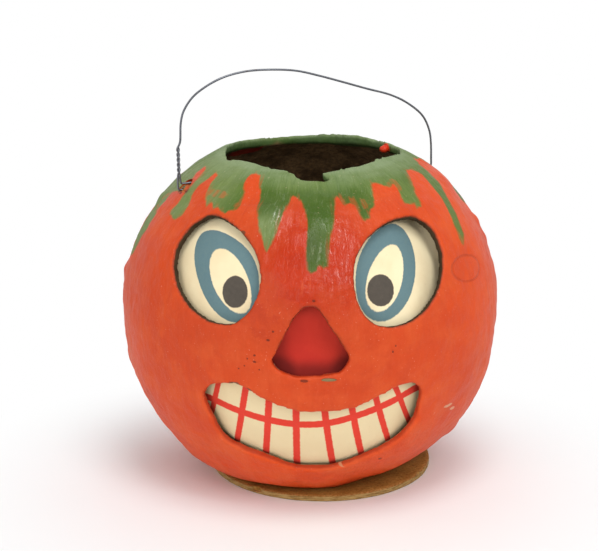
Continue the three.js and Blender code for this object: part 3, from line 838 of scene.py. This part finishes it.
gum_line = gum * gum * -6.23e-6 + gum * aside * 3.08e-6 + gum * 0.01231194 + aside * 0.04278251 - 18.1881
lines = (abs(height - gum_line) + bleed).rise(1.3, 1.0)
for at, slope in (
    (-28.9, 0.2841), (-19.26, 0.1613), (-11.59, 0.053), (-3.92, -0.0111), (4.09, -0.1081), (11.74, -0.1643),
    (19.49, -0.2666), (27.42, -0.4272),
):
    lines = lines.greater((abs(aside - at - (height + 18) * slope) + bleed).rise(1.1, 0.8))
art = (lines * height.rise(-3, -4)).over(art, red)
# Painted shade: the red nose darkens towards its bottom, sides and top, where the wall shades the recessed
# paper
nose_shade = height.rise(3, -2.5) * 0.7 + abs(aside - 0.5).rise(3.5, 9.5) * 0.55 + height.rise(9, 15) * 0.35
nose_red = painted(
    stain.rise(0.3, 0.7).over((202, 52, 36), (190, 44, 32)),
    (nose_shade.rise(0.15, 0.95) * 0.85, (96, 16, 12)),
)
art = egg(0, 6, 12.5, 11, 0, 0).over(art, nose_red)
plain = fibre.over((176, 154, 116), (150, 128, 92))
two_sided = back.rise(0.4, 0.6).over(art, plain)
surface(start, two_sided, 0.72 + fibre * 0.15, fibre * 0.6 + stain * 0.6, 0.00008, 0.25).show()
hand_over(insert, printed, 50, "face_insert")


# Seam strips
# Two strips of brown paper pasted inside over the joint of the halves, torn to length and wrinkled
# by the paste.

STRIP_PAPER = 0.3
STRIP_WIDTH = 12
strip_paper, start = new_finish("strip_paper")
spot = start.spot()
up = start.field("up")
aside = start.field("aside")
fibre = start.speckle(start.place(aside * 0.001, up * 0.00025, 0.0), 0.0006, 5.0, 0.6)
blot = start.speckle(spot, 0.006, 4.0, 0.6)
kraft = painted(
    fibre.over((184, 158, 118), (158, 130, 92)),
    (blot.rise(0.5, 0.7) * 0.6, (128, 102, 70)),
    (abs(aside).rise(5.2, 5.9) * 0.5, (206, 186, 150)),
)
surface(start, kraft, 0.75 + blot * 0.2, fibre * 0.7 + blot * 0.8, 0.00012, 0.2).show()
half_angle = math.degrees(STRIP_WIDTH / 2 / GIRTH_RADIUS)
for side, end in ((-1, "left"), (1, "right")):
    from_to = (side * 90 - half_angle, side * 90 + half_angle)
    strip = glued_sheet(f"seam_paper_{end}", from_to, (-46, 45), STRIP_PAPER, lambda _, up: 0 * up, 15, 92)
    hand_over(strip, strip_paper, 50, f"seam_strip_{end}")


# Card base
# A disc stamped out of thick grey-brown card, its plies fraying at the edge and one chip gone at the
# front. The body is glued on it, a little to one side. A hole and a hollow take the rivet.

BASE_AT = (3.1, -2.0)
BASE_RADIUS = 30.3
CARD = FOOT_HEIGHT
RIVET_HOLE = 1.4
outline = [(RIVET_HOLE, 0.6), (2.1, 0.6), (2.8, 0.6), (2.8, 0.3), (2.8, 0.0)]
outline += [(radius, 0.0) for radius in np.linspace(5, BASE_RADIUS - 0.8, 9)]
for level in np.linspace(0.0, CARD, 12):
    outline.append((BASE_RADIUS - 0.12 * abs(2 * level / CARD - 1) ** 3, level))
outline += [(radius, CARD) for radius in np.linspace(BASE_RADIUS - 0.5, 3, 12)]
outline += [(RIVET_HOLE, CARD), (RIVET_HOLE, 1.0)]
disc = new_piece("card_disc", turned_mesh("card_disc", outline, 360))
place = places_of(disc.data)
radius = np.hypot(place[:, 0], place[:, 1])
angle = np.degrees(np.arctan2(place[:, 0], -place[:, 1]))
at_edge = np.clip((radius - 29) / 1.2, 0, 1)
fray = np.array([
    0.1 * wander(x / 3, y / 3, z * 2.6)
    + 0.06 * wander(x / 0.8, y / 0.8, z * 2.2)
    + 0.07 * wander(x / 9, y / 9, 1)
    for x, y, z in place
])
chip = 1.3 * np.exp(-(((angle + 35.5) / 2.6) ** 2)) * eased(place[:, 2], 0.35, 0.75)
chip += 0.6 * np.exp(-(((angle - 62) / 2) ** 2)) * eased(place[:, 2], 0.8, 1.1)
slack = at_edge * (fray - 0.08 - chip)
place[:, :2] *= (1 + slack / np.maximum(radius, 1))[:, None]
frayed_up = 0.1 * at_edge * np.array([wander(x / 2, y / 2, 9) for x, y, z in place])
place[:, 2] = np.where(place[:, 2] > 1.35, place[:, 2] - np.abs(frayed_up), place[:, 2])
place[:, :2] += BASE_AT
put_places(disc.data, place * 0.001)


def from_base_middle(spot):
    """How far across, away, up and out a place is from the middle of the card."""
    across, away, level = spot.parts()
    across = across - BASE_AT[0] / 1000
    away = away - BASE_AT[1] / 1000
    return across, away, level, (across * across + away * away) ** 0.5


card, start = new_finish("card")
spot = start.spot()
across, away, level, reach = from_base_middle(spot)
fibre = start.speckle(spot, 0.0007, 5.0, 0.65)
blot = start.speckle(spot, 0.007, 4.0, 0.6)
plies = start.speckle(start.place(across * 0.12, away * 0.12, level), 0.0003, 3.0, 0.6)
worn = (reach + (fibre - 0.5) * 0.0016 + (blot - 0.5) * 0.0012).rise(0.0286, 0.0299)
side = reach.rise(0.0296, 0.0299) * level.rise(0.0014, 0.0013)
board = painted(
    blot.rise(0.35, 0.65).over((150, 108, 46), (172, 132, 64)),
    (fibre.rise(0.5, 0.68) * 0.75, (98, 62, 24)),
    (fibre.rise(0.44, 0.3) * 0.5, (206, 166, 96)),
    (worn * 0.75, fibre.rise(0.4, 0.6).over((214, 176, 104), (160, 118, 54))),
    (side * 0.9, plies.rise(0.35, 0.6).over((128, 98, 54), (176, 146, 92))),
)
relief = fibre * 0.6 + plies * side * 2.0 + blot * 0.3
surface(start, board, 0.85 + fibre * 0.1, relief, 0.00014, 0.15).show()
hand_over(disc, card, 40, "base_disc")


# Drip pan and candle cup
# Two pieces of thin tinplate. The pan is stamped with a turned-up rim to catch wax. The cup's wall is
# slit from the top into three springy leaves. Both are dull, scratched and rusting in spots.

CUP_RADIUS = 6.75
PAN_FLOOR = 1.75
CUP_FLOOR = 2.1


def on_base(name, outline, columns):
    """A turned piece in millimetres, standing at the middle of the card."""
    piece = new_piece(name, turned_mesh(name, outline, columns))
    piece.data.transform(Matrix.Translation((*BASE_AT, 0)))
    return piece


def rusting(start, bloom_size, fine_size, fray, low, high):
    """The dull bloom on a metal, its fine grain and its spots of rust."""
    spot = start.spot()
    bloom = start.speckle(spot, bloom_size, 5.0, 0.65)
    fine = start.speckle(spot, fine_size, 4.0, 0.6)
    return bloom, fine, (bloom + (fine - 0.5) * fray).rise(low, high)


tin, start = new_finish("tin")
_, _, level, reach = from_base_middle(start.spot())
bloom, fine, rust = rusting(start, 0.0025, 0.0004, 0.3, 0.6, 0.7)
rings = start.speckle(start.place(reach, level * 0.3, 0.0), 0.0002, 2.0, 0.5)
plate = (bloom * 0.8 + rings * 0.2).over((168, 168, 164), (136, 134, 128))
plate = rust.over(plate, fine.over((112, 66, 38), (140, 88, 52)))
dull = 0.34 + bloom * 0.25 + rust * 0.35
relief = bloom * 0.3 + rings * 0.3 + rust * 0.8
surface(start, plate, dull, relief, 0.00006, metal=0.95 - rust * 0.85).show()

pan_outline = [(RIVET_HOLE, CARD)]
pan_outline += [(radius, CARD) for radius in np.linspace(2.5, 11.7, 7)]
pan_outline += [(12.3, 1.47), (12.62, 1.72), (13.2, 2.6), (13.75, 3.6)]
pan_outline += [(13.98, 4.0), (14.06, 4.14), (13.95, 4.2), (13.78, 4.15), (13.62, 3.98)]
pan_outline += [(13.4, 3.6), (12.85, 2.6), (12.32, 1.92), (12.0, 1.78)]
for radius in np.linspace(11.4, 2.5, 28):
    pan_outline.append((radius, PAN_FLOOR + 0.05 * math.exp(-(((radius - 10) / 0.5) ** 2))))
pan_outline += [(RIVET_HOLE, PAN_FLOOR)]
pan = on_base("tin_pan", pan_outline, 160)
with_modifier(pan, "TRIANGULATE")

cup_outline = [(RIVET_HOLE, PAN_FLOOR), (3, PAN_FLOOR), (5.6, PAN_FLOOR), (6.3, 1.8), (6.62, 1.98)]
cup_outline += [(CUP_RADIUS, 2.3)] + [(CUP_RADIUS, level) for level in np.linspace(3, 13.4, 24)]
cup_outline += [(6.7, 13.65), (6.575, 13.75), (6.45, 13.65)]
cup_outline += [(6.4, level) for level in np.linspace(13.4, 3, 24)]
cup_outline += [(6.4, 2.4), (6.25, 2.18), (5.9, CUP_FLOOR), (3, CUP_FLOOR), (RIVET_HOLE, CUP_FLOOR)]
cup = on_base("tin_cup", cup_outline, 120)
snips = bmesh.new()
for turn in (30, 150, 270):
    box = bmesh.ops.create_cube(snips, size=1, matrix=Matrix.Diagonal((2 * CUP_RADIUS, 1, 15, 1)))["verts"]
    bmesh.ops.translate(snips, verts=box, vec=(CUP_RADIUS, 0, 13.75))
    bmesh.ops.rotate(snips, verts=box, matrix=Matrix.Rotation(math.radians(turn), 3, "Z"))
snips.transform(Matrix.Translation((*BASE_AT, 0)))
cut_away(cup, from_build("snips", snips))
for piece, node in ((pan, "drip_pan"), (cup, "candle_cup")):
    piece.data.transform(METRES)
    hand_over(piece, tin, 40, node)


# Rivet
# A tubular steel rivet through card, pan and cup, domed inside the cup and spread flat in the hollow
# under the card, where it has rusted.

rivet_outline = [(0.02, 0.1), (1.2, 0.1), (2.05, 0.13), (2.28, 0.25), (2.28, 0.45), (2.15, 0.6), (1.3, 0.6)]
rivet_outline += [(1.2, 0.75), (1.2, CARD), (1.2, 1.95), (1.25, CUP_FLOOR), (2.15, CUP_FLOOR), (2.29, 2.16)]
rivet_outline += [(2.3, 2.25)]
rivet_outline += [(2.24, 2.36), (2.0, 2.5), (1.6, 2.61), (1.1, 2.67), (0.5, 2.7), (0.02, 2.7)]
rivet = on_base("steel_rivet", rivet_outline, 64)
rivet.data.transform(METRES)
rivet_steel, start = new_finish("rivet_steel")
bloom, fine, rust = rusting(start, 0.0012, 0.0003, 0.3, 0.52, 0.64)
steel = bloom.over((150, 150, 148), (118, 116, 112))
steel = rust.over(steel, fine.over((104, 60, 34), (134, 84, 50)))
dull = 0.36 + bloom * 0.2 + rust * 0.35
surface(start, steel, dull, bloom * 0.4 + rust * 0.8, 0.00005, metal=0.95 - rust * 0.85).show()
hand_over(rivet, rivet_steel, 40, "pan_rivet")


# Wire bail
# One dark steel wire bent by hand. At the left it goes in through a hole, comes back out through the
# slot above it and is twisted round itself. At the right it goes in through a hole and ends in an eye.

WIRE = 0.6
LEFT_LEG = -LEFT_OUT - 0.1
RIGHT_LEG = RIGHT_OUT + 0.45
STRAND_GAP = 0.21
TWISTS = 2.75
TWIST_FOOT = 4.2
TWIST_RISE = 2.67


def bend(x, z, radius, begin, end, steps):
    turns = np.radians(np.linspace(begin, end, steps + 1))
    return [(x + radius * math.cos(turn), 0, z + radius * math.sin(turn)) for turn in turns]


def strand(side):
    turns = np.linspace(0, TWISTS, 27)
    angles = side + 2 * np.pi * turns
    rises = TWIST_FOOT + TWIST_RISE * turns
    return [
        (LEFT_LEG + STRAND_GAP * math.cos(angle), STRAND_GAP * math.sin(angle), rise)
        for angle, rise in zip(angles, rises)
    ]


inside = -LEFT_OUT + 7
wire_path = strand(math.pi)[::-1] + [(LEFT_LEG - STRAND_GAP - 0.15, 0, 2.6)]
wire_path += bend(LEFT_LEG - STRAND_GAP + 0.6, 0.75, 0.75, 180, 270, 3) + [(inside - 3, 0, 0)]
wire_path += bend(inside, STRAND_SPACING / 2, STRAND_SPACING / 2, 270, 450, 6)
wire_path += [(inside - 3, 0, STRAND_SPACING)]
wire_path += bend(LEFT_LEG + 0.95, STRAND_SPACING + 0.6, 0.6, 270, 180, 3) + strand(0)
wire_path += [
    (LEFT_LEG + inward, 0, rise)
    for inward, rise in (
        (0.6, 12.7), (1, 17.7), (1.8, 20.6), (4.3, 24.1), (8.2, 26.8), (12.9, 28.8), (18.9, 29.9),
        (25.6, 29.9), (32.9, 29.1),
    )
]
wire_path += [
    (RIGHT_LEG - inward, 0, rise)
    for inward, rise in (
        (32.7, 27.4), (25.9, 25.2), (19, 22.9), (11.9, 20.6), (7, 18), (2.6, 14.2), (0.6, 10), (0.1, 6.6),
    )
]
wire_path += [(RIGHT_LEG, 0, 2)] + bend(RIGHT_LEG - 0.6, 0.6, 0.6, 0, -90, 3) + [(RIGHT_OUT - 5.8, 0, 0)]
eye = bend(RIGHT_OUT - 9.8, 1.3, 1.3, 270, -45, 11)
wire_path += [(x, 0.9 * i / 11, z) for i, (x, _, z) in enumerate(eye)]


def smooth_path(points, spacing):
    """Close places along a line through uneven points that doesn't overshoot at the bends."""
    points = np.asarray(points, float)
    points = np.concatenate([[2 * points[0] - points[1]], points, [2 * points[-1] - points[-2]]])
    line = []
    for before, here, after, beyond in zip(points, points[1:], points[2:], points[3:]):
        steps = (here - before, after - here, beyond - after)
        first, run, last = (np.linalg.norm(step) ** 0.5 for step in steps)
        leave = ((here - before) / first - (after - before) / (first + run) + (after - here) / run) * run
        arrive = ((after - here) / run - (beyond - here) / (run + last) + (beyond - after) / last) * run
        count = max(2, math.ceil(np.linalg.norm(after - here) / spacing))
        share = np.linspace(0, 1, count, endpoint=False)[:, None]
        line.append(
            here + leave * share + (3 * (after - here) - 2 * leave - arrive) * share**2
            + (2 * (here - after) + leave + arrive) * share**3
        )
    return np.concatenate([*line, [points[-2]]])


line = smooth_path(wire_path, 0.35)
heading = np.gradient(line, axis=0)
heading /= np.linalg.norm(heading, axis=1)[:, None]
across = np.cross(heading[0], (0, 1, 0))
places = []
sides = 12
for at, ahead in zip(line, heading):
    across = across - ahead * (across @ ahead)
    across /= np.linalg.norm(across)
    beside = np.cross(ahead, across)
    girth = WIRE / 2 * (0.92 + 0.05 * noise.noise(Vector(at) / 1.6))
    for turn in np.linspace(0, 2 * np.pi, sides, endpoint=False):
        places.append(at + girth * (math.cos(turn) * across + math.sin(turn) * beside))
faces = [tuple(range(sides)), tuple(range(len(places) - 1, len(places) - sides - 1, -1))]
for corner in range(0, len(places) - sides, sides):
    for i in range(sides):
        following = (i + 1) % sides
        faces.append((corner + i, corner + sides + i, corner + sides + following, corner + following))
build = bmesh.new()
build.from_mesh(new_mesh("wire", places, faces))
bail = from_build("wire_bail", build)
bail.data.transform(METRES @ bail_place)

wire_steel, start = new_finish("steel_wire")
bloom, fine, rust = rusting(start, 0.0016, 0.0003, 0.4, 0.6, 0.72)
drawn = painted(bloom.over((128, 131, 138), (84, 86, 92)), (rust, (86, 58, 42)))
dull = 0.3 + bloom * 0.2 + rust * 0.35
surface(start, drawn, dull, fine * 0.5 + bloom * 0.5, 0.00004, metal=0.85 - rust * 0.75).show()
hand_over(bail, wire_steel, 60, "bail_wire", "bail")


# Studio
# A white table top swept up into a white backdrop, under soft lamps, and the camera.

WHITE = (1, 1, 1, 1)
LAMP_AIM = Vector((0, 0, 0.05))
TABLE_END = 0.35
SWEEP = 0.25


def soft_lamp(name, at, size, watts):
    lamp = bpy.data.lights.new(name, "AREA")
    lamp.shape = "DISK"
    lamp.size = size
    lamp.energy = watts
    holder = bpy.data.objects.new(name, lamp)
    holder.location = at
    holder.rotation_euler = (LAMP_AIM - Vector(at)).to_track_quat("-Z", "Y").to_euler()
    bpy.context.scene.collection.objects.link(holder)


sweep_line = [(-0.9, 0.0), (TABLE_END, 0.0)]
for turn in np.linspace(0.1, math.pi / 2, 12):
    sweep_line.append((TABLE_END + SWEEP * math.sin(turn), SWEEP - SWEEP * math.cos(turn)))
sweep_line.append((TABLE_END + SWEEP, 1.2))
ground = new_mesh(
    "ground",
    [(side * 1.2, y, z - 0.00005) for y, z in sweep_line for side in (-1, 1)],
    [(2 * i, 2 * i + 1, 2 * i + 3, 2 * i + 2) for i in range(len(sweep_line) - 1)],
)
floor = new_piece("ground", ground)
white, start = new_finish("white_table")
spot = start.spot()
cloudy = start.speckle(spot, 0.05, 3.0)
whites = cloudy.over((240, 240, 240), (243, 243, 243))
dull = 0.75 + cloudy * 0.1
table = start.node("ShaderNodeBsdfPrincipled", {}, {"Base Color": whites, "Roughness": dull})
# Far from the lantern the table loses itself in the white behind it. The glow starts close beside and behind
# the lantern, so it also lightens its cast shadow there: painted light.
glow = start.node("ShaderNodeEmission", {}, {"Color": WHITE, "Strength": 1.0})
seen = start.node("ShaderNodeLightPath", {}, {}, "Is Camera Ray")
far = spot.far_from((0, -0.03, 0)).rise(0.045, 0.11)
start.node("ShaderNodeMixShader", {}, {0: seen * far, 1: table, 2: glow}).show()
ground.materials.append(white)

soft_lamp("overhead", (0.08, -0.24, 0.75), 0.35, 1.9)
soft_lamp("front_right", (0.36, -0.62, 0.58), 0.5, 2.5)
soft_lamp("front_left", (-0.58, -0.75, 0.36), 0.6, 2.0)
world = bpy.data.worlds.new("room")
world.use_nodes = True
world.node_tree.nodes.clear()
start = Value(world.node_tree)
room = start.node("ShaderNodeBackground", {}, {"Color": WHITE, "Strength": 0.55})
paper_white = start.node("ShaderNodeBackground", {}, {"Color": WHITE, "Strength": 1.0})
seen = start.node("ShaderNodeLightPath", {}, {}, "Is Camera Ray")
start.node("ShaderNodeMixShader", {}, {0: seen, 1: room, 2: paper_white}).show("ShaderNodeOutputWorld")
bpy.context.scene.world = world
bpy.context.scene.view_settings.view_transform = "Standard"

lens = bpy.data.cameras.new("camera")
lens.lens = 101.35
lens.sensor_width = 36
camera = bpy.data.objects.new("camera", lens)
camera.location = (-0.002883, -0.4425, 0.17909)
camera.rotation_euler = (math.radians(74.055), 0, 0)
bpy.context.scene.collection.objects.link(camera)
bpy.context.scene.camera = camera
